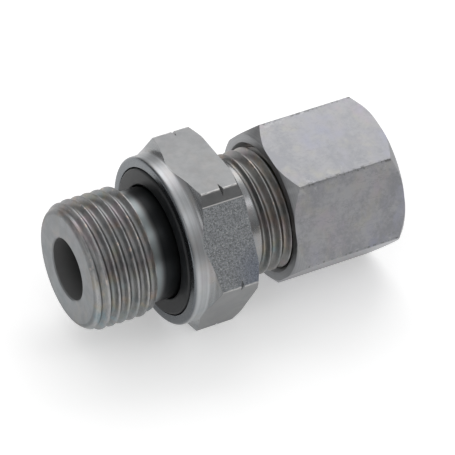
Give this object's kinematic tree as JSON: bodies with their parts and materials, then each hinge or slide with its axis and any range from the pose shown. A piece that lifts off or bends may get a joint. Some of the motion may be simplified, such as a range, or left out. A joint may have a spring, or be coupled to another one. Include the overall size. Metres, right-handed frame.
{
  "type": "hydraulic tube fitting",
  "caption": "Straight male stud fitting for hydraulic tube: hexagon body with sealing collar, soft seal, cutting ring and union nut.",
  "frame": {"origin": "on the fitting's axis, in the plane of the collar's sealing face", "axes": "+X along the axis from the stud towards the union nut, +Z the outward normal of the body hexagon's upper flat; the part lies on the opposite flat"},
  "size_m": [0.0425, 0.0252, 0.0218],
  "materials": {
    "body_steel": "zinc plated, satin",
    "seal_rubber": "smooth black rubber",
    "ring_steel": "zinc plated, turned",
    "nut_steel": "zinc plated, mottled satin"
  },
  "bodies": {
    "body": {"fitting_body": "body_steel", "stud_seal": "seal_rubber"},
    "ring": {"cutting_ring": "ring_steel"},
    "nut": {"union_nut": "nut_steel"}
  },
  "joints": [
    {"name": "ring_slide", "type": "slide", "parent": "body", "child": "ring", "axis": [1, 0, 0], "range_m": [0, 0.0045]},
    {"name": "nut_turn", "type": "hinge", "parent": "ring", "child": "nut", "pos_m": [0.02, 0, 0], "axis": [1, 0, 0], "range_deg": [0, 1080]}
  ],
  "couplings": [
    {"joint": "ring_slide", "follows": "nut_turn", "m_per_rad": 0.00023873}
  ]
}
